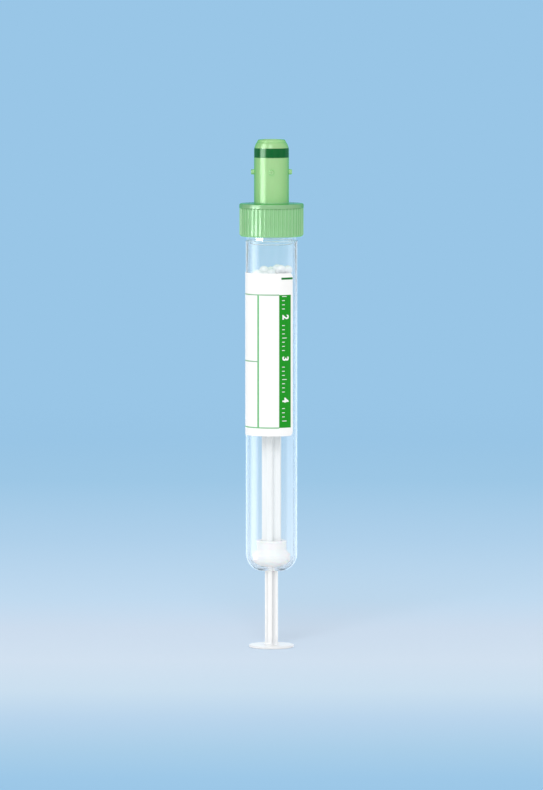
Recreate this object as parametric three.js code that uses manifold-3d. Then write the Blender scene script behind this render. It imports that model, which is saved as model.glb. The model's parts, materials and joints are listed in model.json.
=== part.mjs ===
// A syringe-type blood collection tube standing on its thumb plate, in millimetres, +Z up.
// Its pieces are turned and extruded along Y, and the whole is stood up at the end. "Along" is
// the distance up its axis from the tube's closed end, and "facing" is the angle round that axis
// from the front, -Y in the finished part, towards +X.
import * as THREE from "three";
import { mergeVertices } from "three/addons/utils/BufferGeometryUtils.js";
import Module from "manifold-3d";

const wasm = await Module();
wasm.setup();

const degree = Math.PI / 180;
const sides = 48; // flats round every turned piece, one of them to the front

// Tube
const tubeRadius = 6.5;
const tubeWall = 1.0;
const tubeLength = 90;
const heelRound = 4.3; // outer corner of the closed end
const threadLand = 5.9; // length of the slimmer end that takes the cap
const threadLandStep = 0.2; // how much slimmer it is, in radius
const mouthChamfer = 0.3;

// Screw cap: ribbed skirt, inner plug, neck with four bayonet pins, tapered nose
const skirtLength = 8.35;
const skirtAboveMouth = 3.5; // from the tube's mouth to the skirt's top face
const skirtWall = 0.75;
const threadRoom = 0.8; // radial room for the thread, between land and skirt
const ribCount = 48;
const ribHeight = 0.27;
const rimHeight = 1.15; // smooth band above the ribs
const rimProud = 0.05; // how far it stands beyond them
const edgeRound = 0.45;
const capRoof = 1.5;
const plugDepth = 4.0;
const plugWall = 1.0;
const plugGap = 0.2;
const plugLeadIn = 0.3;
const skirtLeadIn = 0.25;
const capSeatGap = 0.3;
const neckRadius = 4.415;
const neckHeight = 13.7; // skirt's top face to where the nose begins to taper
const neckWall = 1.1;
const neckFillet = 0.35;
const noseHeight = 2.3; // of its taper, below a rounded edge
const noseTaper = 1.0;
const noseEdge = 0.15;
const mouthLip = 0.65; // how far the nose's lip reaches over the septum
const septumLedge = 0.45; // and the ledge under it
const pinRadius = 0.7;
const pinReach = 0.78;
const pinHeight = 7.95; // above the skirt's top face

// Septum
const septumThickness = 2.4;
const septumGap = 0.1;
const septumRise = 0.3; // from the taper's start up to the septum's top
const dimpleShare = 0.45; // radius of the needle's target, to the septum's
const dimpleDepth = 0.35;

// Base bush, which guides the rod and catches the piston
const bushRoom = 0.625; // radial room between bush and bore
const bushGap = 0.2; // between bush and the closed end's inner curve
const bushLand = 4.3; // along, where its shoulder begins
const shoulderHeight = 1.1;
const shoulderStep = 1.075;
const collarHeight = 2.4;
const collarRim = 0.1;
const collarRimHeight = 0.6;

// Piston
const pistonBelowMouth = 18; // from the tube's mouth down to its top
const pistonLength = 12;
const pistonGap = 0.08;
const lipHeight = 1.6;
const lipStep = 0.45;
const noseStep = 0.4; // height and radius of the step on its upper face
const clickGap = 0.25; // between the bush's collar and the piston's skirt
const clickDepth = 4.3;

// Plunger rod
const rodRoom = 3.1; // radial room between the bore and its four arms
const rodThickness = 1.5;
const rodFacing = -15 * degree; // of the arm nearest to the front
const rodGap = 0.3; // in the bush
const tailShare = 0.68; // size of the section outside the tube
const tailLength = 18.85;
const snapRadius = 0.9; // the neck where the rod is broken off
const snapLength = 0.8;
const snapBelowBase = 0.6; // how far outside the tube that neck is with the piston home
const tailTop = 1.0; // along, where the tail's smaller section begins to widen
const taperTop = 4.0; // and where it has reached its full size
const collarDepth = 1.0; // of the rod's end below the piston's socket
const stemRadius = 1.7; // round end in the piston
const stemDepth = 4.0; // how far it goes in, past the click recess
const stemGap = 0.1;
const stemChamfer = 0.3;
const plateRadius = 5.7;
const plateThickness = 0.65;
const plateFlare = 0.5;
const plateChamfer = 0.25;

// Label
const labelBelowMouth = 13.95; // from the tube's mouth down to its upper edge
const labelHeight = 41.25;
const labelEdge = 54; // facing of its right edge, in degrees
const labelWrap = 270; // degrees round the tube
const labelThickness = 0.1;
const labelGlue = 0.05;
const labelCorner = 1.2;

// Beads that carry the anticoagulant
const beadCount = 37;
const beadRadius = 1.18;
const beadSpread = 0.12; // share by which their radii vary
const beadGap = 0.06;
const beadMound = 0.65; // slope of the heap at the wall
const beadLean = 0.7; // how far its crown lies from the axis

// What follows from those sizes
const boreRadius = tubeRadius - tubeWall;
const landRadius = tubeRadius - threadLandStep;
const rodRadius = boreRadius - rodRoom;
const bushBore = rodRadius + rodGap;
const baseHole = bushBore + 0.4;
const collarRadius = boreRadius - bushRoom - shoulderStep;
const shoulderTop = bushLand + shoulderHeight;
const pistonTop = tubeLength - pistonBelowMouth;
const pistonLow = pistonTop - pistonLength;
const pistonTravel = pistonLow - shoulderTop;
const clickRadius = collarRadius + collarRim + clickGap;
const snapAlong = pistonTravel - snapBelowBase;
const labelLow = tubeLength - labelBelowMouth - labelHeight;
const skirtTop = tubeLength + skirtAboveMouth;
const skirtLow = skirtTop - skirtLength;
const skirtBore = landRadius + threadRoom;
const skirtRadius = skirtBore + skirtWall;
const ribRadius = skirtRadius + ribHeight;
const neckTop = skirtTop + neckHeight;
const pocketRadius = neckRadius - neckWall;
const septumTop = neckTop + septumRise;

// A closed body turned about the long axis. The outline is [radius, along] points, outside going up.
function turned(outline, count = sides) {
  const points = outline.map(([radius, along]) => new THREE.Vector2(radius, along));
  if (outline[0][0] > 0) points.push(points[0].clone());
  return new THREE.LatheGeometry(points, count, Math.PI / count);
}

// A flat shape, drawn with x to the right and y to the front, carried along the axis.
function extruded(shape, low, length, curveSegments = 12) {
  const geometry = new THREE.ExtrudeGeometry(shape, { depth: length, bevelEnabled: false, curveSegments });
  return geometry.rotateX(Math.PI / 2).translate(0, low + length, 0);
}

function arc(centreRadius, centreAlong, radius, from, to, steps = 5) {
  return Array.from({ length: steps + 1 }, (_, step) => {
    const angle = from + ((to - from) * step) / steps;
    return [centreRadius + radius * Math.cos(angle), centreAlong + radius * Math.sin(angle)];
  });
}

function solid(geometry) {
  const bare = geometry.clone();
  bare.deleteAttribute("normal");
  bare.deleteAttribute("uv");
  const merged = mergeVertices(bare, 1e-4);
  const index = merged.index.array;
  return new wasm.Manifold(
    new wasm.Mesh({
      numProp: 3,
      vertProperties: new Float32Array(merged.attributes.position.array),
      triVerts: new Uint32Array(index),
    }),
  );
}

function geometryOf(body) {
  const { vertProperties, triVerts } = body.getMesh();
  const geometry = new THREE.BufferGeometry();
  geometry.setAttribute("position", new THREE.BufferAttribute(vertProperties, 3));
  geometry.setIndex(new THREE.BufferAttribute(triVerts, 1));
  const flat = geometry.toNonIndexed();
  flat.computeVertexNormals();
  return flat;
}

// The closed end's curve, from the rod hole to the wall, for a surface "inset" from the outer one.
function heel(inset, innerRadius, outerRadius) {
  const centre = tubeRadius - heelRound;
  const round = heelRound - inset;
  const angleAt = (radius) => -Math.acos(THREE.MathUtils.clamp((radius - centre) / round, 0, 1));
  const curve = arc(centre, heelRound, round, angleAt(innerRadius), angleAt(outerRadius), 7);
  return innerRadius < centre ? [[innerRadius, inset], ...curve] : curve;
}

function tubeBody() {
  const inside = heel(tubeWall, baseHole, boreRadius).reverse();
  return turned([
    ...heel(0, baseHole, tubeRadius),
    [tubeRadius, tubeLength - threadLand - threadLandStep],
    [landRadius, tubeLength - threadLand],
    [landRadius, tubeLength - mouthChamfer],
    [landRadius - mouthChamfer, tubeLength],
    [boreRadius + mouthChamfer / 2, tubeLength],
    [boreRadius, tubeLength - mouthChamfer / 2],
    ...inside,
  ]);
}

function capOutline() {
  const plugRadius = boreRadius - plugGap;
  const plugBore = plugRadius - plugWall;
  const plugLow = tubeLength - plugDepth;
  const seat = tubeLength + capSeatGap;
  const rimRadius = ribRadius + rimProud;
  const roofUnder = skirtTop - capRoof;
  const ledgeRadius = pocketRadius - septumLedge;
  const noseTop = neckTop + noseHeight + noseEdge;
  const noseRadius = neckRadius - noseTaper;
  const mouthRadius = pocketRadius - mouthLip;
  const septumLow = septumTop - septumThickness - septumGap;
  const noseCurve = Array.from({ length: 6 }, (_, step) => {
    const rise = step / 5;
    return [neckRadius - noseTaper * (0.4 * rise + 0.6 * rise ** 2), neckTop + noseHeight * rise];
  });
  return [
    [plugBore, plugLow],
    [plugRadius - plugLeadIn, plugLow],
    [plugRadius, plugLow + 2 * plugLeadIn],
    [plugRadius, seat],
    [landRadius + threadRoom / 4, seat],
    [landRadius + threadRoom / 4, roofUnder],
    [skirtBore, roofUnder],
    [skirtBore, skirtLow + skirtLeadIn],
    [skirtBore + skirtLeadIn, skirtLow],
    [skirtRadius - edgeRound / 2, skirtLow],
    [skirtRadius, skirtLow + edgeRound / 2],
    [skirtRadius, skirtTop - rimHeight - 0.15],
    [rimRadius, skirtTop - rimHeight],
    ...arc(rimRadius - edgeRound, skirtTop - edgeRound, edgeRound, 0, 90 * degree, 3),
    [neckRadius + neckFillet, skirtTop],
    [neckRadius, skirtTop + neckFillet],
    ...noseCurve,
    [noseRadius - noseEdge, noseTop],
    [mouthRadius, noseTop],
    [mouthRadius, septumTop + septumGap],
    [pocketRadius, septumTop + septumGap],
    [pocketRadius, septumLow],
    [ledgeRadius, septumLow],
    [ledgeRadius, skirtTop],
    [plugBore, seat],
  ];
}

// Grip ribs: a star-shaped ring, trimmed to rounded lower ends.
function ribs() {
  const pitch = (2 * Math.PI) / ribCount;
  const foot = skirtRadius - 0.15;
  const star = new THREE.Shape();
  const crest = ribRadius + 0.2; // trimmed off below
  const corners = [[-0.36, foot], [-0.18, crest], [0.18, crest], [0.36, foot]];
  for (let rib = 0; rib < ribCount; rib++) {
    for (const [share, radius] of corners) {
      const angle = (rib + 0.5 + share) * pitch;
      const corner = [radius * Math.sin(angle), radius * Math.cos(angle)];
      if (rib === 0 && share < -0.3) star.moveTo(...corner);
      else star.lineTo(...corner);
    }
  }
  const inner = foot - 0.3;
  const top = skirtTop - rimHeight + 0.1;
  const flatRadius = ribRadius / Math.cos(pitch / 2);
  const trim = [
    [inner, skirtLow + 0.1],
    [flatRadius - ribHeight, skirtLow + 0.1],
    [flatRadius, skirtLow + 0.1 + edgeRound],
    [flatRadius, top],
    [inner, top],
  ].map(([radius, along]) => new THREE.Vector2(radius, along));
  trim.push(trim[0].clone());
  const ring = new THREE.LatheGeometry(trim, ribCount);
  return solid(extruded(star, skirtLow, skirtLength)).intersect(solid(ring));
}

function screwCap() {
  let cap = solid(turned(capOutline())).add(ribs());
  for (const facing of [0, 90, 180, 270]) {
    const pin = new THREE.CylinderGeometry(pinRadius * 0.9, pinRadius, pinReach + 0.4, 12);
    pin.rotateX(Math.PI / 2).translate(0, 0, neckRadius + (pinReach - 0.4) / 2);
    pin.rotateY(facing * degree).translate(0, skirtTop + pinHeight, 0);
    cap = cap.add(solid(pin));
  }
  return geometryOf(cap);
}

function septum() {
  const radius = pocketRadius - septumGap;
  const dimple = radius * dimpleShare;
  return turned([
    [0, septumTop - septumThickness],
    [radius, septumTop - septumThickness],
    [radius, septumTop],
    [dimple, septumTop],
    [dimple * 0.8, septumTop - dimpleDepth],
    [0, septumTop - dimpleDepth],
  ]);
}

function baseBush() {
  const radius = boreRadius - bushRoom;
  const collarTop = shoulderTop + collarHeight;
  return turned([
    ...heel(tubeWall + bushGap, bushBore, radius),
    [radius, bushLand],
    [collarRadius, shoulderTop],
    [collarRadius, collarTop - collarRimHeight],
    [collarRadius + collarRim, collarTop - collarRimHeight + collarRim],
    [collarRadius + collarRim, collarTop - collarRim],
    [collarRadius, collarTop],
    [bushBore + 0.25, collarTop],
    [bushBore, collarTop - 0.25],
  ]);
}

function piston() {
  const radius = boreRadius - pistonGap;
  const waist = radius - lipStep;
  const lip = (low) => [
    [waist, low],
    [radius, low + lipStep],
    [radius, low + lipHeight - lipStep],
    [waist, low + lipHeight],
  ];
  const socketTop = pistonLow + clickDepth + stemDepth + stemGap;
  return turned([
    [clickRadius, pistonLow],
    ...lip(pistonLow).slice(1),
    ...lip(pistonLow + (pistonLength - lipHeight) / 2),
    ...lip(pistonTop - lipHeight - noseStep),
    [waist - noseStep, pistonTop],
    [0, pistonTop],
    [0, socketTop],
    [stemRadius + stemGap, socketTop],
    [stemRadius + stemGap, pistonLow + clickDepth],
    [clickRadius, pistonLow + clickDepth],
  ]);
}

// A cross-shaped section of the rod. Its far end can be smaller or larger than its near one.
function crossPiece(low, length, share, endShare = share) {
  const reach = rodRadius * share;
  const half = (rodThickness / 2) * share;
  const shape = new THREE.Shape();
  for (let arm = 0; arm < 4; arm++) {
    const turn = (arm * Math.PI) / 2 - rodFacing;
    for (const [across, out] of [[half, half], [half, reach], [-half, reach]]) {
      const x = across * Math.cos(turn) - out * Math.sin(turn);
      const y = across * Math.sin(turn) + out * Math.cos(turn);
      if (arm === 0 && out === half) shape.moveTo(x, y);
      else shape.lineTo(x, y);
    }
  }
  const geometry = extruded(shape, low, length);
  const position = geometry.attributes.position;
  for (let i = 0; i < position.count; i++) {
    if (position.getY(i) < low + length / 2) continue;
    position.setX(i, (position.getX(i) * endShare) / share);
    position.setZ(i, (position.getZ(i) * endShare) / share);
  }
  return solid(geometry);
}

function plungerRod() {
  const crossTop = pistonLow + clickDepth - collarDepth;
  const stemTop = pistonLow + clickDepth + stemDepth;
  const plateLow = -tailLength - plateThickness;
  const plate = turned([
    [0, plateLow],
    [plateRadius - plateChamfer, plateLow],
    [plateRadius, plateLow + plateChamfer],
    [plateRadius, -tailLength - plateChamfer],
    [plateRadius - plateChamfer, -tailLength],
    [rodRadius * tailShare + plateFlare, -tailLength],
    [rodRadius * tailShare, -tailLength + plateFlare],
    [0, -tailLength + plateFlare],
  ]);
  const stem = turned([
    [0, crossTop - collarDepth / 2],
    [stemRadius, crossTop - collarDepth / 2],
    [stemRadius, stemTop - stemChamfer],
    [stemRadius - stemChamfer, stemTop],
    [0, stemTop],
  ], 24);
  const snap = turned([
    [0, snapAlong - snapLength],
    [snapRadius, snapAlong - snapLength],
    [snapRadius, snapAlong + snapLength],
    [0, snapAlong + snapLength],
  ], 12);
  return geometryOf(
    solid(plate)
      .add(crossPiece(-tailLength, tailLength + tailTop, tailShare))
      .add(crossPiece(tailTop, taperTop - tailTop, tailShare, 1))
      .add(crossPiece(taperTop, snapAlong - snapLength / 2 - taperTop, 1))
      .add(solid(snap))
      .add(crossPiece(snapAlong + snapLength / 2, crossTop - snapAlong - snapLength / 2, 1))
      .add(solid(stem)),
  );
}

// What a corner of the label loses: all that lies outside a quarter circle. "side" and "end" are 1 or
// -1, the ways from the corner into the label.
function cornerCutter(side, end) {
  const margin = 0.5;
  const outline = [
    [-margin, -margin],
    [labelCorner, -margin],
    ...arc(labelCorner, labelCorner, labelCorner, -90 * degree, -180 * degree),
    [-margin, labelCorner],
  ];
  const shape = new THREE.Shape(outline.map(([x, y]) => new THREE.Vector2(x * side, y * end)));
  return new THREE.ExtrudeGeometry(shape, { depth: 2 * margin, bevelEnabled: false });
}

function label() {
  const inner = tubeRadius + labelGlue;
  const outer = inner + labelThickness;
  const right = (90 - labelEdge) * degree;
  const left = right + labelWrap * degree;
  const sheet = new THREE.Shape();
  sheet.absarc(0, 0, outer, right, left, false);
  sheet.absarc(0, 0, inner, left, right, true);
  let body = solid(extruded(sheet, labelLow, labelHeight, 36));
  for (const [facing, side] of [[labelEdge, -1], [labelEdge - labelWrap, 1]]) {
    for (const [along, end] of [[labelLow, 1], [labelLow + labelHeight, -1]]) {
      const cutter = cornerCutter(side, end).translate(0, 0, inner - 0.4);
      body = body.subtract(solid(cutter.rotateY(facing * degree).translate(0, along, 0)));
    }
  }
  return geometryOf(body);
}

// Beads settle on the piston by being pulled down and a little inward, and pushed apart, over and over.
function settledBeads() {
  let seed = 7;
  const random = () => {
    seed = (seed * 16807) % 2147483647;
    return seed / 2147483647;
  };
  const wall = boreRadius * Math.cos(Math.PI / sides) - beadGap;
  const floor = pistonTop + beadGap;
  const beads = Array.from({ length: beadCount }, (_, i) => ({
    radius: beadRadius * (1 + beadSpread * (2 * random() - 1)) + beadGap / 2,
    centre: new THREE.Vector3((random() - 0.5) * wall, floor + 2 + i * 0.35, (random() - 0.5) * wall),
  }));
  const rounds = 1500;
  for (let round = 0; round < rounds; round++) {
    const step = 0.06 * (1 - round / rounds) ** 2;
    for (const { centre } of beads) {
      const inward = (-step * beadMound) / wall;
      centre.add(new THREE.Vector3((centre.x - beadLean) * inward, -step, centre.z * inward));
    }
    for (let pass = 0; pass < 4; pass++) {
      for (let a = 0; a < beadCount; a++) {
        for (let b = a + 1; b < beadCount; b++) {
          const apart = beads[a].centre.clone().sub(beads[b].centre);
          const overlap = beads[a].radius + beads[b].radius - apart.length();
          if (overlap <= 0) continue;
          apart.setLength(overlap / 2);
          beads[a].centre.add(apart);
          beads[b].centre.sub(apart);
        }
      }
      for (const { centre, radius } of beads) {
        const out = Math.hypot(centre.x, centre.z);
        const room = wall - radius;
        if (out > room) {
          centre.x *= room / out;
          centre.z *= room / out;
        }
        centre.y = Math.max(centre.y, floor + radius);
      }
    }
  }
  // What overlap is left comes off the radii.
  for (const a of beads) {
    for (const b of beads) {
      if (a === b) continue;
      const spare = a.centre.distanceTo(b.centre) - a.radius - b.radius;
      if (spare < 0) {
        a.radius += spare / 2;
        b.radius += spare / 2;
      }
    }
  }
  return beads.map(({ centre, radius }) => ({ centre, radius: radius - beadGap / 2 }));
}

function material(color, roughness, opacity = 1) {
  const transparent = opacity < 1;
  return new THREE.MeshStandardMaterial({ color, roughness, metalness: 0, opacity, transparent });
}

const materials = {
  clear: () => material("#e6f3fb", 0.12, 0.3),
  green: () => material("#7cc487", 0.35, 0.9),
  darkGreen: () => material("#00502b", 0.55),
  white: () => material("#f4f5f3", 0.4),
  paper: () => material("#fbfbf9", 0.75),
  bead: () => material("#f6f8fa", 0.3, 0.85),
};

function named(name, geometry, surface) {
  const mesh = new THREE.Mesh(geometry, surface);
  mesh.name = name;
  return mesh;
}

const collectionTube = new THREE.Group();
collectionTube.add(
  named("tube", tubeBody(), materials.clear()),
  named("screw_cap", screwCap(), materials.green()),
  named("septum", septum(), materials.darkGreen()),
  named("base_bush", baseBush(), materials.white()),
  named("piston", piston(), materials.white()),
  named("plunger_rod", plungerRod(), materials.white()),
  named("label", label(), materials.paper()),
);
settledBeads().forEach(({ centre, radius }, i) => {
  const number = String(i + 1).padStart(2, "0");
  const bead = named(`bead_${number}`, new THREE.IcosahedronGeometry(radius, 1), materials.bead());
  bead.position.copy(centre);
  collectionTube.add(bead);
});

// Along becomes up, and the thumb plate stands on the floor.
collectionTube.rotation.x = Math.PI / 2;
collectionTube.position.z = tailLength + plateThickness;

export default collectionTube;
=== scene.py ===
import json
import math
import random

import bmesh
import bpy
import numpy as np
from mathutils import Matrix, Vector, noise


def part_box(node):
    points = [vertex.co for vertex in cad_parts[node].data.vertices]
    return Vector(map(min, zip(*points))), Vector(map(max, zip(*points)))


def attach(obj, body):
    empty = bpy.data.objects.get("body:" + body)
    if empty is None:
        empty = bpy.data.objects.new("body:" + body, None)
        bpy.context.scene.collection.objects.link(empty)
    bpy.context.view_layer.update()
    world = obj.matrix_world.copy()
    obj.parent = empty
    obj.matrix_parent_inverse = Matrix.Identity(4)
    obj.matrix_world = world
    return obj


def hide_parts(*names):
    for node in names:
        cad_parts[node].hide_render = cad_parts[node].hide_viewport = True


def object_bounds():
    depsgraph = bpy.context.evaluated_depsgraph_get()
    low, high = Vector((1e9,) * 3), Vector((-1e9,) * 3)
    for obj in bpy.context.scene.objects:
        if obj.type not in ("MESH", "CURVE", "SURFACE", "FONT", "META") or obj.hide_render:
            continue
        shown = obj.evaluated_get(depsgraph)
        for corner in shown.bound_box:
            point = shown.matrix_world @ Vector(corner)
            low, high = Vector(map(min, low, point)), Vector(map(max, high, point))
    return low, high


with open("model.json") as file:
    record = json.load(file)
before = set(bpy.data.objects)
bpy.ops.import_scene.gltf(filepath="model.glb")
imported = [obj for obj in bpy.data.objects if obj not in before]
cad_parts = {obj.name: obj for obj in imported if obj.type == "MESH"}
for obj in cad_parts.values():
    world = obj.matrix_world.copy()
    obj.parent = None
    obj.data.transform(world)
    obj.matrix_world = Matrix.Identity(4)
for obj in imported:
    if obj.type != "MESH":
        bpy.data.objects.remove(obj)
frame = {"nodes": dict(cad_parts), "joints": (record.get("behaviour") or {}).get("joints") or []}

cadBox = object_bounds()

# Pieces are drawn in millimetres, "along" being the height above the tube's closed end, and
# "facing" the angle round the axis from the front, -Y, towards +X. onAxis puts them in the frame.
mm = 0.001
joints = {joint["name"]: joint for joint in frame["joints"]}
tubeLength = 90.0
closedEnd = Vector(joints["cap_turn"]["pos_m"]) - Vector((0, 0, tubeLength * mm))
onAxis = Matrix.Translation(closedEnd) @ Matrix.Scale(mm, 4)


# Corners of an outline, (radius, along, fillet), with each fillet as an arc.
def filleted(corners, arcSteps=5, closed=True):
    outline = []
    count = len(corners)
    for i, (radius, along, fillet) in enumerate(corners):
        here = np.array((radius, along), float)
        if fillet <= 0 or (not closed and i in (0, count - 1)):
            outline.append((radius, along))
            continue
        back = np.array(corners[i - 1][:2]) - here
        ahead = np.array(corners[(i + 1) % count][:2]) - here
        backLength, aheadLength = np.linalg.norm(back), np.linalg.norm(ahead)
        back, ahead = back / backLength, ahead / aheadLength
        half = math.acos(np.clip(back @ ahead, -1, 1)) / 2
        reach = min(fillet / math.tan(half), backLength * 0.48, aheadLength * 0.48)
        size = reach * math.tan(half)
        inward = (back + ahead) / np.linalg.norm(back + ahead)
        centre = here + inward * size / math.sin(half)
        start, end = here + back * reach - centre, here + ahead * reach - centre
        startAngle = math.atan2(start[1], start[0])
        sweep = math.atan2(end[1], end[0]) - startAngle
        sweep = (sweep + math.pi) % (2 * math.pi) - math.pi
        for step in range(arcSteps + 1):
            angle = startAngle + sweep * step / arcSteps
            outline.append((centre[0] + size * math.cos(angle), centre[1] + size * math.sin(angle)))
    return outline


def arc(centreRadius, centreAlong, size, start, end, steps):
    angles = np.radians(np.linspace(start, end, steps + 1))
    return [(centreRadius + size * math.cos(a), centreAlong + size * math.sin(a)) for a in angles]


# Straight runs of an outline cut into steps, so that a shape can bend them.
def divided(outline, low, high, step, wall=None):
    fine = []
    for (radius, along), (nextRadius, nextAlong) in zip(outline, outline[1:] + outline[:1]):
        fine.append((radius, along))
        run = abs(nextAlong - along)
        inside = min(along, nextAlong) >= low - 1e-6 and max(along, nextAlong) <= high + 1e-6
        inside = inside and (wall is None or max(abs(radius - wall), abs(nextRadius - wall)) < 0.05)
        pieces = math.ceil(run / step) if inside else 1
        for k in range(1, pieces):
            share = k / pieces
            fine.append((radius + (nextRadius - radius) * share, along + (nextAlong - along) * share))
    return fine


def finished(bm, name, sharpAngle=35):
    bmesh.ops.remove_doubles(bm, verts=bm.verts, dist=1e-5)
    bmesh.ops.recalc_face_normals(bm, faces=bm.faces)
    bm.transform(onAxis)
    mesh = bpy.data.meshes.new(name)
    bm.to_mesh(mesh)
    bm.free()
    mesh.shade_smooth()
    mesh.set_sharp_from_angle(angle=math.radians(sharpAngle))
    return mesh


# A round body. "shape" may change the radius by place: it takes and gives arrays.
def revolved(outline, steps, closed=True, shape=None):
    rows = np.array(outline)
    turn = np.arange(steps) * 2 * math.pi / steps
    radius = np.repeat(rows[:, :1], steps, axis=1)
    along = np.repeat(rows[:, 1:], steps, axis=1)
    turn = np.repeat(turn[None, :], len(rows), axis=0)
    if shape:
        radius = shape(radius, along, turn)
    points = np.stack((radius * np.sin(turn), -radius * np.cos(turn), along), axis=-1)
    bm = bmesh.new()
    grid = [[bm.verts.new(point) for point in row] for row in points]
    last = len(rows) if closed else len(rows) - 1
    for i in range(last):
        here, above = grid[i], grid[(i + 1) % len(rows)]
        for j in range(steps):
            k = (j + 1) % steps
            bm.faces.new((here[j], here[k], above[k], above[j]))
    return bm


def smoothStep(value, low, high):
    share = np.clip((value - low) / (high - low), 0, 1)
    return share * share * (3 - 2 * share)


def addPiece(name, mesh, material, body, slotName, *nodes):
    piece = bpy.data.objects.new(name, mesh)
    bpy.context.scene.collection.objects.link(piece)
    mesh.materials.clear()
    mesh.materials.append(material)
    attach(piece, body)
    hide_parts(*nodes)
    return piece


def linear(red, green, blue):
    shares = (red / 255, green / 255, blue / 255)
    return tuple(((s + 0.055) / 1.055) ** 2.4 if s > 0.04 else s / 12.92 for s in shares) + (1,)


# Shader node groups that several finishes share
def newGroup(name, inputs, outputs):
    group = bpy.data.node_groups.new(name, "ShaderNodeTree")
    for label, kind, value in inputs:
        socket = group.interface.new_socket(name=label, in_out="INPUT", socket_type=kind)
        socket.default_value = value
    for label, kind in outputs:
        group.interface.new_socket(name=label, in_out="OUTPUT", socket_type=kind)
    return group, group.nodes.new("NodeGroupInput"), group.nodes.new("NodeGroupOutput")


def wire(tree, source, target):
    tree.links.new(source, target)


def mathNode(tree, operation, first, second=None, third=None):
    node = tree.nodes.new("ShaderNodeMath")
    node.operation = operation
    for socket, value in zip(node.inputs, (first, second, third)):
        if value is None:
            continue
        if isinstance(value, (int, float)):
            socket.default_value = value
        else:
            tree.links.new(value, socket)
    return node.outputs[0]


def clamped(tree, value):
    return mathNode(tree, "MINIMUM", mathNode(tree, "MAXIMUM", value, 0.0), 1.0)


def mixed(tree, factor, first, second):
    blend = tree.nodes.new("ShaderNodeMix")
    blend.data_type = "RGBA"
    for name, value in (("Factor", factor), ("A", first), ("B", second)):
        socket = blend.inputs[name]
        if isinstance(value, bpy.types.NodeSocket):
            wire(tree, value, socket)
        else:
            socket.default_value = value
    return blend.outputs["Result"]


def millimetres(tree, stretch=(1, 1, 1)):
    place = tree.nodes.new("ShaderNodeTexCoord")
    sized = tree.nodes.new("ShaderNodeMapping")
    sized.inputs["Scale"].default_value = [s / mm for s in stretch]
    wire(tree, place.outputs["Object"], sized.inputs["Vector"])
    return sized.outputs["Vector"]


def setRange(node, fromLow, fromHigh, toLow=0.0, toHigh=1.0):
    values = {"From Min": fromLow, "From Max": fromHigh, "To Min": toLow, "To Max": toHigh}
    for socket, value in values.items():
        node.inputs[socket].default_value = value


# Fine skin of a moulded plastic: a faint bump and an uneven gloss.
def makeMouldGrain():
    group, enter, leave = newGroup(
        "mouldGrain",
        [
            ("Grain size", "NodeSocketFloat", 0.3),
            ("Depth", "NodeSocketFloat", 0.004),
            ("Smoothest", "NodeSocketFloat", 0.2),
            ("Roughest", "NodeSocketFloat", 0.3),
        ],
        [("Normal", "NodeSocketVector"), ("Roughness", "NodeSocketFloat")],
    )
    place = millimetres(group)
    fine = group.nodes.new("ShaderNodeTexNoise")
    fine.inputs["Detail"].default_value = 2
    wire(group, place, fine.inputs["Vector"])
    wire(group, mathNode(group, "DIVIDE", 1.0, enter.outputs["Grain size"]), fine.inputs["Scale"])
    bump = group.nodes.new("ShaderNodeBump")
    wire(group, fine.outputs["Fac"], bump.inputs["Height"])
    wire(group, mathNode(group, "MULTIPLY", enter.outputs["Depth"], mm), bump.inputs["Distance"])
    wire(group, bump.outputs["Normal"], leave.inputs["Normal"])
    broad = group.nodes.new("ShaderNodeTexNoise")
    broad.inputs["Scale"].default_value = 0.35
    broad.inputs["Detail"].default_value = 3
    wire(group, place, broad.inputs["Vector"])
    rough = group.nodes.new("ShaderNodeMapRange")
    rough.inputs["From Min"].default_value = 0.3
    rough.inputs["From Max"].default_value = 0.7
    wire(group, broad.outputs["Fac"], rough.inputs["Value"])
    wire(group, enter.outputs["Smoothest"], rough.inputs["To Min"])
    wire(group, enter.outputs["Roughest"], rough.inputs["To Max"])
    wire(group, rough.outputs["Result"], leave.inputs["Roughness"])
    return group


# Streaks where the melt flowed along the mould, as a mask.
def makeFlowStreaks():
    group, enter, leave = newGroup(
        "flowStreaks",
        [("Width", "NodeSocketFloat", 1.0), ("Contrast", "NodeSocketFloat", 1.0)],
        [("Mask", "NodeSocketFloat")],
    )
    streak = group.nodes.new("ShaderNodeTexNoise")
    streak.inputs["Detail"].default_value = 3
    wire(group, millimetres(group, (1, 1, 0.07)), streak.inputs["Vector"])
    wire(group, mathNode(group, "DIVIDE", 1.0, enter.outputs["Width"]), streak.inputs["Scale"])
    centred = mathNode(group, "SUBTRACT", streak.outputs["Fac"], 0.5)
    strong = mathNode(group, "MULTIPLY_ADD", centred, enter.outputs["Contrast"], 0.5)
    wire(group, clamped(group, strong), leave.inputs["Mask"])
    return group


mouldGrain = makeMouldGrain()
flowStreaks = makeFlowStreaks()


def useGroup(tree, group, **values):
    node = tree.nodes.new("ShaderNodeGroup")
    node.node_tree = group
    for label, value in values.items():
        node.inputs[label.replace("_", " ")].default_value = value
    return node


# A moulded plastic between two near colours, and its shader.
def mouldedPlastic(name, colours, grain, streaks, **settings):
    material = bpy.data.materials.new(name)
    material.use_nodes = True
    tree = material.node_tree
    shader = tree.nodes["Principled BSDF"]
    for label, value in settings.items():
        shader.inputs[label.replace("_", " ")].default_value = value
    skin = useGroup(tree, mouldGrain, **grain)
    wire(tree, skin.outputs["Normal"], shader.inputs["Normal"])
    wire(tree, skin.outputs["Roughness"], shader.inputs["Roughness"])
    flow = useGroup(tree, flowStreaks, **streaks)
    wire(tree, mixed(tree, flow.outputs["Mask"], *colours), shader.inputs["Base Color"])
    return material


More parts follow.
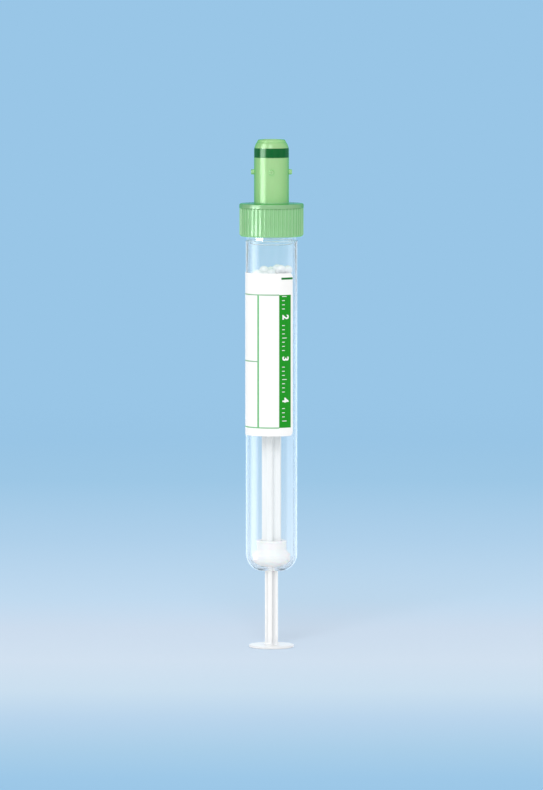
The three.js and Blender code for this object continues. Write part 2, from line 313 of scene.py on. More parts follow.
# Lamps and bounced light go straight through a clear plastic, tinted.
def letLightThrough(material, tint):
    tree = material.node_tree
    shader = tree.nodes["Principled BSDF"]
    output = tree.nodes["Material Output"]
    rays = tree.nodes.new("ShaderNodeLightPath")
    clear = tree.nodes.new("ShaderNodeBsdfTransparent")
    clear.inputs["Color"].default_value = tint
    mix = tree.nodes.new("ShaderNodeMixShader")
    passing = mathNode(tree, "MAXIMUM", rays.outputs["Is Shadow Ray"], rays.outputs["Is Diffuse Ray"])
    wire(tree, passing, mix.inputs["Fac"])
    wire(tree, shader.outputs["BSDF"], mix.inputs[1])
    wire(tree, clear.outputs["BSDF"], mix.inputs[2])
    wire(tree, mix.outputs["Shader"], output.inputs["Surface"])


# Colour that deepens with the thickness that light crosses. Density is per millimetre.
def deepen(material, colour, density):
    tree = material.node_tree
    volume = tree.nodes.new("ShaderNodeVolumeAbsorption")
    volume.inputs["Color"].default_value = colour
    volume.inputs["Density"].default_value = density / mm
    wire(tree, volume.outputs["Volume"], tree.nodes["Material Output"].inputs["Volume"])


clearPlastic = mouldedPlastic(
    "clear_plastic",
    (linear(250, 253, 254), linear(254, 255, 255)),
    {"Grain_size": 6.0, "Depth": 0.0002, "Smoothest": 0.02, "Roughest": 0.05},
    {"Width": 1.5, "Contrast": 1.5},
    IOR=1.49,
    Transmission_Weight=0.95,
)
letLightThrough(clearPlastic, (0.985, 0.99, 0.995, 1))

rubber = mouldedPlastic(
    "green_rubber",
    (linear(0, 92, 44), linear(0, 104, 52)),
    {"Grain_size": 0.12, "Depth": 0.006, "Smoothest": 0.45, "Roughest": 0.6},
    {"Width": 1.0, "Contrast": 1.5},
    IOR=1.5,
)

whitePlastic = mouldedPlastic(
    "white_plastic",
    (linear(241, 241, 240), linear(247, 247, 246)),
    {"Grain_size": 0.4, "Depth": 0.003, "Smoothest": 0.28, "Roughest": 0.42},
    {"Width": 1.2, "Contrast": 1.6},
    IOR=1.49,
    Subsurface_Weight=0.2,
    Subsurface_Scale=0.0012,
)


# Mask that grows towards the axis, from one distance to another in millimetres.
def makeNearAxis():
    group, enter, leave = newGroup(
        "nearAxis",
        [("Full at", "NodeSocketFloat", 1.0), ("None at", "NodeSocketFloat", 2.0)],
        [("Mask", "NodeSocketFloat")],
    )
    place = group.nodes.new("ShaderNodeVectorMath")
    place.operation = "LENGTH"
    wire(group, millimetres(group, (1, 1, 0)), place.inputs[0])
    fall = group.nodes.new("ShaderNodeMapRange")
    fall.interpolation_type = "SMOOTHSTEP"
    wire(group, place.outputs["Value"], fall.inputs["Value"])
    wire(group, enter.outputs["None at"], fall.inputs["From Min"])
    wire(group, enter.outputs["Full at"], fall.inputs["From Max"])
    wire(group, fall.outputs["Result"], leave.inputs["Mask"])
    return group


# The rod's plastic is greyer in the grooves between its arms and towards its foot: painted shade.
def makeRodPlastic():
    material = mouldedPlastic(
        "rod_plastic",
        (linear(241, 241, 240), linear(248, 248, 247)),
        {"Grain_size": 0.4, "Depth": 0.003, "Smoothest": 0.28, "Roughest": 0.42},
        {"Width": 1.2, "Contrast": 1.6},
        IOR=1.49,
    )
    tree = material.node_tree
    shader = tree.nodes["Principled BSDF"]
    # painted shade: grey where the arms meet near the axis, where they shade each other
    paintedGrooveShade = useGroup(tree, makeNearAxis(), Full_at=0.7, None_at=1.65)
    colour = shader.inputs["Base Color"].links[0].from_socket
    colour = mixed(tree, paintedGrooveShade.outputs["Mask"], colour, linear(216, 217, 218))
    height = tree.nodes.new("ShaderNodeSeparateXYZ")
    wire(tree, millimetres(tree), height.inputs[0])
    # painted shade: the colour turns greyer towards the foot plate
    paintedFootShade = tree.nodes.new("ShaderNodeMapRange")
    setRange(paintedFootShade, 3.0, 0.4, 0.0, 0.8)
    wire(tree, height.outputs["Z"], paintedFootShade.inputs["Value"])
    colour = mixed(tree, paintedFootShade.outputs["Result"], colour, linear(224, 225, 226))
    wire(tree, colour, shader.inputs["Base Color"])
    return material


rodPlastic = makeRodPlastic()

pelletPlastic = mouldedPlastic(
    "pellet_plastic",
    (linear(252, 253, 254), linear(255, 255, 255)),
    {"Grain_size": 0.3, "Depth": 0.01, "Smoothest": 0.12, "Roughest": 0.25},
    {"Width": 0.8, "Contrast": 2.0},
    IOR=1.49,
    Transmission_Weight=0.08,
)
print("finishes made")

tube = {
    "radius": 6.5,
    "wall": 1.0,
    "heelRound": 4.3,
    "holeRadius": 3.1,
    "landStart": 84.1,
    "landRadius": 6.3,
    "steps": 192,
}
thread = {"lead": 3.0, "height": 0.5, "width": 0.9, "low": 85.9, "high": 89.0, "rows": 0.12}


# Height of a thread's ridge at each place, from 0 to 1. "shift" slides it along.
def ridge(along, turn, shift):
    phase = (along - shift - thread["lead"] * turn / (2 * math.pi)) / thread["lead"]
    away = np.abs(phase - np.round(phase)) * thread["lead"]
    crest = 1 - smoothStep(away, thread["width"] * 0.15, thread["width"] * 0.6)
    ends = smoothStep(along, thread["low"] - 0.3, thread["low"] + 0.2)
    return crest * ends * (1 - smoothStep(along, thread["high"] - 0.2, thread["high"] + 0.3))


def tubeMesh():
    radius, wall, heel = tube["radius"], tube["wall"], tube["heelRound"]
    land, hole = tube["landRadius"], tube["holeRadius"]
    centre = radius - heel
    bore = radius - wall
    holeAngle = -math.degrees(math.acos((hole - centre) / (heel - wall / 2)))
    outline = arc(centre, heel, heel, holeAngle + 3, 0, 18)
    outline += [
        (radius, 20.0), (radius, 50.0), (radius, tube["landStart"] - 0.45),
        (radius + 0.08, tube["landStart"] - 0.3), (radius + 0.08, tube["landStart"] - 0.1),
        (radius - 0.02, tube["landStart"]), (land, tube["landStart"] + 0.12),
        (land, thread["low"] - 0.3), (land, thread["high"] + 0.3),
    ]
    belowMouth = tubeLength - 2
    outline += filleted([
        (land, belowMouth, 0), (land, tubeLength, 0.3), (bore, tubeLength, 0.2), (bore, belowMouth, 0),
    ], 4, False)[1:-1]
    outline += [(bore, 86.0), (bore, 50.0), (bore, 20.0)]
    outline += arc(centre, heel, heel - wall, 0, holeAngle - 3, 14)
    outline = divided(outline, thread["low"] - 0.3, thread["high"] + 0.3, thread["rows"])

    def shape(radii, along, turn):
        outer = (radii > land - 0.05) & (along > tube["landStart"] + 0.5)
        return radii + np.where(outer, thread["height"] * ridge(along, turn, 0), 0)

    return finished(revolved(outline, tube["steps"], shape=shape), "clear_tube", 40)


addPiece("clear_tube", tubeMesh(), clearPlastic, "tube", "tube_clear", "tube")
print("tube made")

cap = {
    "skirtLow": 85.15,
    "skirtTop": 93.5,
    "skirtBore": 7.1,
    "skirtRadius": 7.85,
    "ribs": 48,
    "ribHeight": 0.27,
    "ribWidth": 0.48,          # share of the pitch
    "rimHeight": 1.15,
    "rimRadius": 8.17,
    "edgeRound": 0.45,
    "roof": 1.5,
    "seat": 90.3,
    "seatRadius": 6.5,
    "plugLow": 86.0,
    "plugRadius": 5.3,
    "plugBore": 4.3,
    "neckRadius": 4.415,
    "neckTop": 107.2,
    "boreRadius": 2.865,
    "pocketRadius": 3.315,
    "pocketLow": 105.0,
    "pocketTop": 107.6,
    "noseHeight": 2.3,
    "noseTaper": 1.0,
    "noseEdge": 0.15,
    "crease": 0.77,            # share of the nose's height
    "creaseDepth": 0.12,
    "mouthRadius": 2.665,
    "pinRadius": 0.7,
    "pinReach": 0.78,
    "pinHeight": 7.95,
    "steps": 480,
}
septum = {"radius": 3.33, "low": 105.1, "top": 107.5, "dimple": 1.5, "dimpleDepth": 0.35, "steps": 96}


# Masks on the cap, by place in the frame in millimetres: the crests of its ribs, all of its skirt,
# the height where the stopper fills the neck, and the nose above it.
def makeCapZones():
    group, enter, leave = newGroup(
        "capZones",
        [
            ("Crest foot", "NodeSocketFloat", 7.9),
            ("Crest top", "NodeSocketFloat", 8.1),
            ("Rim low", "NodeSocketFloat", 0.0),
            ("Skirt top", "NodeSocketFloat", 0.0),
            ("Stopper low", "NodeSocketFloat", 0.0),
            ("Stopper high", "NodeSocketFloat", 1.0),
        ],
        [(zone, "NodeSocketFloat") for zone in ("Crest", "Skirt", "Stopper", "Nose")],
    )
    place = group.nodes.new("ShaderNodeSeparateXYZ")
    wire(group, millimetres(group), place.inputs[0])
    across, deep, height = (place.outputs[axis] for axis in "XYZ")

    def edged(distance):
        inside = mathNode(group, "MULTIPLY_ADD", distance, 12.0, 0.5)
        return mathNode(group, "MINIMUM", mathNode(group, "MAXIMUM", inside, 0.0), 1.0)

    square = mathNode(group, "MULTIPLY_ADD", deep, deep, mathNode(group, "MULTIPLY", across, across))
    crest = group.nodes.new("ShaderNodeMapRange")
    crest.interpolation_type = "SMOOTHSTEP"
    wire(group, mathNode(group, "SQRT", square), crest.inputs["Value"])
    wire(group, enter.outputs["Crest foot"], crest.inputs["From Min"])
    wire(group, enter.outputs["Crest top"], crest.inputs["From Max"])
    underRim = edged(mathNode(group, "SUBTRACT", enter.outputs["Rim low"], height))
    wire(group, mathNode(group, "MULTIPLY", crest.outputs["Result"], underRim), leave.inputs["Crest"])
    underTop = mathNode(group, "SUBTRACT", enter.outputs["Skirt top"], height)
    wire(group, edged(underTop), leave.inputs["Skirt"])
    above = mathNode(group, "SUBTRACT", height, enter.outputs["Stopper low"])
    below = mathNode(group, "SUBTRACT", enter.outputs["Stopper high"], height)
    wire(group, edged(mathNode(group, "MINIMUM", above, below)), leave.inputs["Stopper"])
    wire(group, edged(mathNode(group, "MULTIPLY", below, -1.0)), leave.inputs["Nose"])
    return group


# The cap's plastic is see-through: its green deepens with the way that light takes through the wall,
# and through the tinted coat that stands for its clear skin.
def makeCapPlastic():
    material = mouldedPlastic(
        "green_plastic",
        (linear(221, 239, 184), linear(229, 243, 196)),
        {"Grain_size": 0.5, "Depth": 0.001, "Smoothest": 0.12, "Roughest": 0.2},
        {"Width": 2.0, "Contrast": 2.0},
        IOR=1.49,
        Transmission_Weight=0.35,
        Coat_Weight=1.0,
        Coat_Roughness=0.1,
        Coat_IOR=1.02,
        Coat_Tint=(0.72, 0.92, 0.76, 1),
    )
    tree = material.node_tree
    shader = tree.nodes["Principled BSDF"]
    base = closedEnd.z / mm
    zones = useGroup(
        tree, makeCapZones(), Crest_foot=7.94, Crest_top=8.08,
        Rim_low=base + cap["skirtTop"] - cap["rimHeight"] - 0.1, Skirt_top=base + cap["skirtTop"] + 0.3,
        Stopper_low=base + septum["low"], Stopper_high=base + septum["top"],
    )
    colour = shader.inputs["Base Color"].links[0].from_socket
    # The paler rib crests are a painted highlight along each crest.
    skirtToneAndCrestHighlight = {"Skirt": (0.85, linear(194, 222, 184)), "Crest": (0.7, linear(222, 241, 208))}
    for zone, (share, shade) in skirtToneAndCrestHighlight.items():
        colour = mixed(tree, mathNode(tree, "MULTIPLY", zones.outputs[zone], share), colour, shade)
    colour = mixed(tree, zones.outputs["Stopper"], colour, linear(0, 112, 40))
    wire(tree, colour, shader.inputs["Base Color"])
    return material


greenPlastic = makeCapPlastic()
letLightThrough(greenPlastic, (0.9, 0.97, 0.88, 1))
deepen(greenPlastic, (0.107, 0.752, 0.573, 1), 0.6)


def capMesh():
    low, top = cap["skirtLow"], cap["skirtTop"]
    bore, skirt, rim = cap["skirtBore"], cap["skirtRadius"], cap["rimRadius"]
    neck, neckTop = cap["neckRadius"], cap["neckTop"]
    roofUnder = top - cap["roof"]
    rimLow = top - cap["rimHeight"]
    noseTop = neckTop + cap["noseHeight"] + cap["noseEdge"]
    noseRadius = neck - cap["noseTaper"]
    corners = [
        (cap["plugBore"], cap["plugLow"], 0.15), (cap["plugRadius"], cap["plugLow"], 0.35),
        (cap["plugRadius"], cap["seat"], 0.15), (cap["seatRadius"], cap["seat"], 0.1),
        (cap["seatRadius"], roofUnder, 0.15), (bore, roofUnder, 0.2),
        (bore, low, 0.2), (skirt, low, 0.25), (skirt, low + 0.4, 0), (skirt, low + 0.6, 0),
        (skirt, rimLow - 0.12, 0), (rim, rimLow + 0.05, 0.1), (rim, top, cap["edgeRound"]),
        (neck, top, 0.35),
    ]
    outline = filleted(corners + [(neck, neckTop, 0)], 5)[:-1]
    outline += [(neck, top + 4), (neck, neckTop - 4)]
    for rise in (0.0, 0.15, 0.3, 0.45, 0.6, 0.7, 0.74, 0.77, 0.8, 0.84, 0.92):
        paintedGrooveShade = max(0, 1 - abs(rise - cap["crease"]) * 18) * cap["creaseDepth"]
        fall = cap["noseTaper"] * (0.4 * rise + 0.6 * rise ** 2)
        outline.append((neck - fall - paintedGrooveShade, neckTop + cap["noseHeight"] * rise))
    outline += filleted([
        (noseRadius + 0.05, noseTop - cap["noseEdge"] - 0.1, 0),
        (noseRadius, noseTop - cap["noseEdge"], 0.05),
        (noseRadius - cap["noseEdge"], noseTop, 0.08),
        (cap["mouthRadius"], noseTop, 0.18), (cap["mouthRadius"], cap["pocketTop"], 0.08),
        (cap["pocketRadius"], cap["pocketTop"], 0.05), (cap["pocketRadius"], cap["pocketLow"], 0.05),
        (cap["boreRadius"], cap["pocketLow"], 0.15), (cap["boreRadius"], top, 0.5),
        (cap["plugBore"], cap["seat"], 0.5), (cap["plugBore"], cap["plugLow"], 0),
    ], 4, False)[1:-1]
    outline = divided(outline, low + 0.15, roofUnder - 0.15, thread["rows"], bore)

    def shape(radii, along, turn):
        onSkirt = (radii > skirt - 0.3) & (along < rimLow + 0.02)
        pitch = turn * cap["ribs"] / (2 * math.pi) + 0.5
        away = np.abs(pitch - np.round(pitch)) * 2 / cap["ribWidth"]
        crest = 1 - smoothStep(away, 0.15, 1.0)
        fade = smoothStep(along, low + 0.1, low + 0.55)
        radii = radii + np.where(onSkirt, cap["ribHeight"] * crest * fade, 0)
        inBore = (np.abs(radii - bore) < 0.05) & (along < roofUnder - 0.5)
        return radii - np.where(inBore, thread["height"] * ridge(along, turn, thread["lead"] / 2), 0)

    return finished(revolved(outline, cap["steps"], shape=shape), "green_cap", 40)


greenCap = addPiece("green_cap", capMesh(), greenPlastic, "cap", "cap_green", "screw_cap")


# A short round pin standing out of the neck, with its outer edge rounded off.
def pinMesh(facing):
    radius, reach = cap["pinRadius"], cap["pinReach"]
    outline = filleted([
        (0.0, -0.5, 0), (radius, -0.5, 0), (radius * 0.92, reach, 0.3), (0.24, reach, 0.06),
        (0.12, reach - 0.15, 0.04), (0.0, reach - 0.15, 0),
    ], 4, False)
    bm = revolved(outline, 32, closed=False)
    outwards = Matrix.Rotation(math.radians(facing), 4, "Z") @ Matrix.Rotation(math.radians(90), 4, "X")
    bm.transform(Matrix.Translation((0, 0, cap["skirtTop"] + cap["pinHeight"])) @ outwards
                 @ Matrix.Translation((0, 0, cap["neckRadius"])))
    return finished(bm, "pin")


# Joins other meshes to a piece as one closed body.
def joined(piece, meshes, sharpAngle=40):
    for mesh in meshes:
        other = bpy.data.objects.new("joining", mesh)
        bpy.context.scene.collection.objects.link(other)
        join = piece.modifiers.new("join", "BOOLEAN")
        join.operation = "UNION"
        join.solver = "MANIFOLD"
        join.object = other
        made = bpy.data.meshes.new_from_object(piece.evaluated_get(bpy.context.evaluated_depsgraph_get()))
        piece.modifiers.remove(join)
        bpy.data.objects.remove(other)
        materials = list(piece.data.materials)
        piece.data = made
        piece.data.materials.clear()
        for material in materials[:1]:
            piece.data.materials.append(material)
    piece.data.shade_smooth()
    piece.data.set_sharp_from_angle(angle=math.radians(sharpAngle))


joined(greenCap, [pinMesh(facing) for facing in (0, 90, 180, 270)])
print("cap made")


def septumMesh():
    radius, low, top = septum["radius"], septum["low"], septum["top"]
    dimple, floor = septum["dimple"], septum["top"] - septum["dimpleDepth"]
    outline = filleted([
        (0.0, low, 0), (radius, low, 0.1), (radius, top, 0.1), (dimple, top, 0.2),
        (dimple * 0.8, floor, 0.2), (0.0, floor, 0),
    ], 4, False)
    return finished(revolved(outline, septum["steps"], closed=False), "rubber_septum")


addPiece("rubber_septum", septumMesh(), rubber, "septum", "septum_rubber", "septum")

bush = {
    "radius": 4.875,
    "gap": 0.2,
    "bore": 2.7,
    "land": 4.3,
    "shoulderTop": 5.4,
    "collarRadius": 3.8,
    "collarTop": 7.8,
    "collarRim": 0.1,
    "steps": 128,
}


def bushMesh():
    heel = tube["heelRound"] - tube["wall"] - bush["gap"]
    centre = tube["radius"] - tube["heelRound"]
    start = -math.degrees(math.acos(min(1, (bush["bore"] + 0.15 - centre) / heel)))
    end = -math.degrees(math.acos((bush["radius"] - centre) / heel))
    collar, rim, top = bush["collarRadius"], bush["collarRadius"] + bush["collarRim"], bush["collarTop"]
    outline = arc(centre, tube["heelRound"], heel, start, end, 14)
    outline += filleted([
        (bush["radius"], 3.0, 0), (bush["radius"], bush["land"], 0.5), (collar, bush["shoulderTop"], 0.35),
        (collar, top - 0.55, 0.15), (rim, top - 0.42, 0.1), (rim, top, 0.16), (bush["bore"], top, 0.25),
        (bush["bore"], 3.0, 0),
    ], 5, False)
    return finished(revolved(outline, bush["steps"]), "guide_bush")


addPiece("guide_bush", bushMesh(), whitePlastic, "tube", "bush_white", "base_bush")

piston = {
    "top": 72.0,
    "length": 12.0,
    "radius": 5.42,
    "lipHeight": 1.6,
    "lipStep": 0.45,
    "noseStep": 0.4,
    "clickRadius": 4.15,
    "clickDepth": 4.3,
    "socketRadius": 1.8,
    "socketDepth": 4.1,
    "steps": 128,
}


def pistonMesh():
    low = piston["top"] - piston["length"]
    radius, step, height = piston["radius"], piston["lipStep"], piston["lipHeight"]
    waist = radius - step
    corners = [(piston["clickRadius"], low, 0.1), (waist + 0.1, low, 0.1)]
    middle = low + (piston["length"] - height) / 2
    for start in (low, middle, piston["top"] - height - piston["noseStep"]):
        corners += [(radius, start + step, 0.15), (radius, start + height - step, 0.15)]
        corners += [(waist, start + height, 0.15)]
        if start < middle + 1:
            following = middle if start == low else piston["top"] - height - piston["noseStep"]
            corners += [(waist, following, 0.15)]
    clickTop = low + piston["clickDepth"]
    socketTop = clickTop + piston["socketDepth"]
    corners += [
        (waist - piston["noseStep"], piston["top"], 0.2), (0.0, piston["top"], 0), (0.0, socketTop, 0),
        (piston["socketRadius"], socketTop, 0.1), (piston["socketRadius"], clickTop, 0.15),
        (piston["clickRadius"], clickTop, 0.2),
    ]
    return finished(revolved(filleted(corners, 4), piston["steps"]), "ringed_piston")


addPiece("ringed_piston", pistonMesh(), whitePlastic, "plunger", "piston_white", "piston")
print("septum, bush and piston made")

rod = {
    "reach": 2.4,              # from the axis to an arm's end
    "thickness": 1.5,
    "facing": -15,
    "armRound": 0.22,
    "footRound": 0.25,         # where two arms meet
    "tailShare": 0.68,
    "tailLength": 18.85,
    "taperLow": 1.0,
    "taperTop": 4.0,
    "snap": 54.0,
    "snapRadius": 0.9,
    "snapLength": 0.8,
    "crossTop": 63.3,
    "stemRadius": 1.7,
    "stemTop": 68.3,
    "plateRadius": 5.7,
    "plateThickness": 0.65,
    "plateRound": 0.22,
}


# The cross's outline, as points at even angles apart from its corners.
def crossOutline():
    half, reach = rod["thickness"] / 2, rod["reach"]
    corners = []
    for arm in range(4):
        turn = math.radians(90 * arm + rod["facing"])
        for across, out, size in (
            (-half, reach, rod["armRound"]), (half, reach, rod["armRound"]), (half, half, rod["footRound"]),
        ):
            x = across * math.cos(turn) + out * math.sin(turn)
            y = across * math.sin(turn) - out * math.cos(turn)
            corners.append((x, y, size))
    return np.array(filleted(corners, 4))


def rodMesh():
    cross = crossOutline()
    distance = np.linalg.norm(cross, axis=1, keepdims=True)
    unit = cross / distance
    snap, reach = rod["snap"], rod["snapLength"] / 2
    tail = -rod["tailLength"]
    flare = 0.5
    sections = [(tail - 0.4, unit * (rod["reach"] * rod["tailShare"] + flare))]
    for step in range(6):
        angle = math.pi / 2 * step / 5
        wider = flare * (1 - math.sin(angle))
        share = rod["tailShare"] * (1 + wider / (rod["reach"] * rod["tailShare"]))
        sections.append((tail + flare * (1 - math.cos(angle)), cross * share))
    for share in (0.0, 0.25, 0.5, 0.75, 1.0):
        size = rod["tailShare"] + (1 - rod["tailShare"]) * share * share * (3 - 2 * share)
        sections.append((rod["taperLow"] + (rod["taperTop"] - rod["taperLow"]) * share, cross * size))
    sections += [
        (snap - reach - 0.25, cross), (snap - reach, cross * 0.93), (snap - reach + 0.12, unit * 1.15),
        (snap - reach + 0.3, unit * rod["snapRadius"]), (snap + reach - 0.3, unit * rod["snapRadius"]),
        (snap + reach - 0.12, unit * 1.15), (snap + reach, cross * 0.93), (snap + reach + 0.25, cross),
        (rod["crossTop"] - 0.2, cross), (rod["crossTop"], cross * 0.93),
        (rod["crossTop"], unit * rod["stemRadius"]), (rod["stemTop"] - 0.2, unit * rod["stemRadius"]),
        (rod["stemTop"], unit * (rod["stemRadius"] - 0.2)),
    ]
    bm = bmesh.new()
    rings = [[bm.verts.new((x, y, along)) for x, y in outline] for along, outline in sections]
    count = len(cross)
    for below, above in zip(rings, rings[1:]):
        for i in range(count):
            k = (i + 1) % count
            bm.faces.new((below[i], below[k], above[k], above[i]))
    bm.faces.new(rings[0])
    bm.faces.new(rings[-1])
    return finished(bm, "plunger_with_plate", 30)


def plateMesh():
    radius, top = rod["plateRadius"], -rod["tailLength"]
    low = top - rod["plateThickness"]
    outline = filleted([
        (0.0, low, 0), (radius, low, rod["plateRound"]), (radius, top, rod["plateRound"]), (0.0, top, 0),
    ], 5, False)
    return finished(revolved(outline, 128, closed=False), "plate")


plunger = addPiece("plunger_with_plate", rodMesh(), rodPlastic, "plunger", "rod_white", "plunger_rod")
joined(plunger, [plateMesh()], 30)
print("plunger made")

pellets = {"dent": 0.05, "swell": 0.03, "squash": 0.06}


# One pellet: a ball from a granulator, a little squashed and uneven.
def pelletMesh(node, number):
    low, high = (Vector(corner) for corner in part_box(node))
    centre = onAxis.inverted() @ ((low + high) / 2)
    radius = max((high - low) / 2) / mm + pellets["swell"]
    chance = random.Random(number)
    bm = bmesh.new()
    bmesh.ops.create_icosphere(bm, subdivisions=4, radius=1)
    shift = Vector((chance.uniform(0, 50), chance.uniform(0, 50), chance.uniform(0, 50)))
    flat = Vector((chance.gauss(0, 1), chance.gauss(0, 1), chance.gauss(0, 1))).normalized()
    for vert in bm.verts:
        way = vert.co.normalized()
        size = 1 - pellets["squash"] * (way @ flat) ** 2
        size -= pellets["dent"] * max(0.0, noise.noise(way * 1.4 + shift))
        vert.co = centre + way * radius * size
    return finished(bm, f"pellet_{number:02d}", 60)


for number, node in enumerate(sorted(name for name in frame["nodes"] if name.startswith("bead_")), 1):
    addPiece(f"pellet_{number:02d}", pelletMesh(node, number), pelletPlastic, "plunger", "bead_white", node)
print("pellets made")

label = {
    "low": 34.8,
    "height": 41.25,
    "edge": 54,                # facing of its right edge
    "wrap": 270,
    "radius": 6.65,
    "thickness": 0.1,
    "corner": 1.2,
    "cut": 0.3,                # between the cuts that let it bend
}
# Print on the label: facings of its left and right ends, low and high ends, and colour.
frameLow, frameHigh, midRule, ruleWidth = 36.93, 70.6, 53.7, 0.3
leftEnd = label["edge"] - label["wrap"] + 4
barLeft, barRight = 16.9, 47.1
columnRule = -30.5
halfRule = math.degrees(0.26 / label["radius"])
darkGreen, barGreen = linear(10, 118, 40), linear(16, 146, 24)
ruleGreen, thinGreen = linear(108, 184, 124), linear(130, 180, 140)
printed = [
    (barLeft, barRight, frameLow, frameHigh, barGreen),
    (columnRule - halfRule, columnRule + halfRule, frameLow, frameHigh, ruleGreen),
    (-112 - halfRule, -112 + halfRule, frameLow, frameHigh, ruleGreen),
    (leftEnd, barLeft, frameHigh - ruleWidth / 2, frameHigh + ruleWidth / 2, thinGreen),
    (leftEnd, barLeft, frameLow - ruleWidth / 2, frameLow + ruleWidth / 2, ruleGreen),
    (leftEnd, columnRule, midRule - ruleWidth / 2, midRule + ruleWidth / 2, thinGreen),
    (22.2, 53.2, 74.45, 74.98, darkGreen),
]


# Cuts a flat drawing into narrow strips, gives it thickness and bends it round the tube.
def bentRound(bm, radius, thickness, plane=None):
    low = min(vert.co.x for vert in bm.verts)
    high = max(vert.co.x for vert in bm.verts)
    for k in range(1, math.ceil((high - low) / label["cut"])):
        everything = bm.verts[:] + bm.edges[:] + bm.faces[:]
        cut = (low + k * label["cut"], 0, 0)
        bmesh.ops.bisect_plane(bm, geom=everything, plane_co=cut, plane_no=(1, 0, 0))
    sheet = bmesh.ops.extrude_face_region(bm, geom=bm.faces[:])
    for vert in (item for item in sheet["geom"] if isinstance(item, bmesh.types.BMVert)):
        vert.co.z = thickness
    if plane:
        layer = bm.loops.layers.uv.new(plane)
        for face in bm.faces:
            for loop in face.loops:
                loop[layer].uv = loop.vert.co.xy
    for vert in bm.verts:
        facing, out = vert.co.x / radius, radius - thickness + vert.co.z
        vert.co = (out * math.sin(facing), -out * math.cos(facing), vert.co.y)


def labelMesh():
    perDegree = math.radians(label["radius"])
    right, top = label["edge"] * perDegree, label["low"] + label["height"]
    left = right - label["wrap"] * perDegree
    corners = [(left, label["low"]), (right, label["low"]), (right, top), (left, top)]
    outline = filleted([(x, y, label["corner"]) for x, y in corners], 8)
    bm = bmesh.new()
    bm.faces.new([bm.verts.new((x, y, 0)) for x, y in outline])
    bentRound(bm, label["radius"], label["thickness"], "labelPlane")
    return finished(bm, "paper_label", 50)


# Mask of one printed rectangle in the label's own plane, in millimetres.
def makePrintedField():
    group, enter, leave = newGroup(
        "printedField",
        [(side, "NodeSocketFloat", 0.0) for side in ("Left", "Right", "Low", "High")],
        [("Mask", "NodeSocketFloat")],
    )
    plane = group.nodes.new("ShaderNodeUVMap")
    plane.uv_map = "labelPlane"
    place = group.nodes.new("ShaderNodeSeparateXYZ")
    wire(group, plane.outputs["UV"], place.inputs[0])
    inside = [
        mathNode(group, "SUBTRACT", place.outputs["X"], enter.outputs["Left"]),
        mathNode(group, "SUBTRACT", enter.outputs["Right"], place.outputs["X"]),
        mathNode(group, "SUBTRACT", place.outputs["Y"], enter.outputs["Low"]),
        mathNode(group, "SUBTRACT", enter.outputs["High"], place.outputs["Y"]),
    ]
    nearest = mathNode(
        group, "MINIMUM",
        mathNode(group, "MINIMUM", inside[0], inside[1]), mathNode(group, "MINIMUM", inside[2], inside[3]),
    )
    sharp = mathNode(group, "MULTIPLY_ADD", nearest, 25.0, 0.5)
    wire(group, clamped(group, sharp), leave.inputs["Mask"])
    return group


printedField = makePrintedField()


def labelPaper():
    material = mouldedPlastic(
        "label_paper",
        (linear(246, 247, 247), linear(252, 252, 251)),
        {"Grain_size": 0.12, "Depth": 0.006, "Smoothest": 0.5, "Roughest": 0.62},
        {"Width": 3.0, "Contrast": 1.2},
        IOR=1.45,
        Specular_IOR_Level=0.2,
    )
    tree = material.node_tree
    shader = tree.nodes["Principled BSDF"]
    colour = shader.inputs["Base Color"].links[0].from_socket
    perDegree = math.radians(label["radius"])
    for left, right, low, high, ink in printed:
        field = useGroup(
            tree, printedField, Left=left * perDegree, Right=right * perDegree, Low=low, High=high,
        )
        colour = mixed(tree, field.outputs["Mask"], colour, ink)
    wire(tree, colour, shader.inputs["Base Color"])
    return material


addPiece("paper_label", labelMesh(), labelPaper(), "tube", "label_paper", "label")

scale = {
    "zero": 86.0,              # along, where the filled length begins
    "perMillilitre": 10.52,
    "numerals": (2, 3, 4),
    "ticks": range(15, 46),    # tenths of a millilitre
    "numeralSize": 2.5,
    "numeralFacing": 31.8,
    "tickFacing": 23.9,
    "tickLengths": (0.75, 1.3),
    "tickWidth": 0.16,
    "proud": 0.015,
}


# White marks on the label's bar: ticks and plain numerals that read down the tube.
def scaleMesh():
    perDegree = math.radians(label["radius"])
    bm = bmesh.new()
    for tenth in scale["ticks"]:
        along = scale["zero"] - tenth / 10 * scale["perMillilitre"]
        if not frameLow + 0.3 < along < frameHigh - 0.3:
            continue
        if min(abs(tenth - 10 * numeral) for numeral in scale["numerals"]) < 2:
            continue
        kind = 1 if tenth % 5 == 0 else 0
        left = scale["tickFacing"] * perDegree
        right, half = left + scale["tickLengths"][kind], scale["tickWidth"] / 2
        corners = ((left, -half), (right, -half), (right, half), (left, half))
        bm.faces.new([bm.verts.new((x, along + y, 0)) for x, y in corners])
    for numeral in scale["numerals"]:
        text = bpy.data.curves.new(f"numeral_{numeral}", "FONT")
        text.body = str(numeral)
        text.size = scale["numeralSize"]
        text.align_x, text.align_y = "CENTER", "CENTER"
        text.offset = 0.08
        holder = bpy.data.objects.new("numeral", text)
        bpy.context.scene.collection.objects.link(holder)
        flat = bpy.data.meshes.new_from_object(holder.evaluated_get(bpy.context.evaluated_depsgraph_get()))
        bpy.data.objects.remove(holder)
        centre = (scale["numeralFacing"] * perDegree, scale["zero"] - numeral * scale["perMillilitre"], 0)
        flat.transform(Matrix.Translation(centre) @ Matrix.Rotation(math.radians(-90), 4, "Z"))
        bm.from_mesh(flat)
    bmesh.ops.remove_doubles(bm, verts=bm.verts, dist=1e-4)
    bentRound(bm, label["radius"] + scale["proud"], 2 * scale["proud"])
    return finished(bm, "volume_scale", 50)


whiteInk = mouldedPlastic(
    "white_ink",
    (linear(244, 246, 244), linear(250, 251, 250)),
    {"Grain_size": 0.1, "Depth": 0.002, "Smoothest": 0.4, "Roughest": 0.5},
    {"Width": 0.5, "Contrast": 1.0},
)
addPiece("volume_scale", scaleMesh(), whiteInk, "tube", "label_paper")
print("label made")

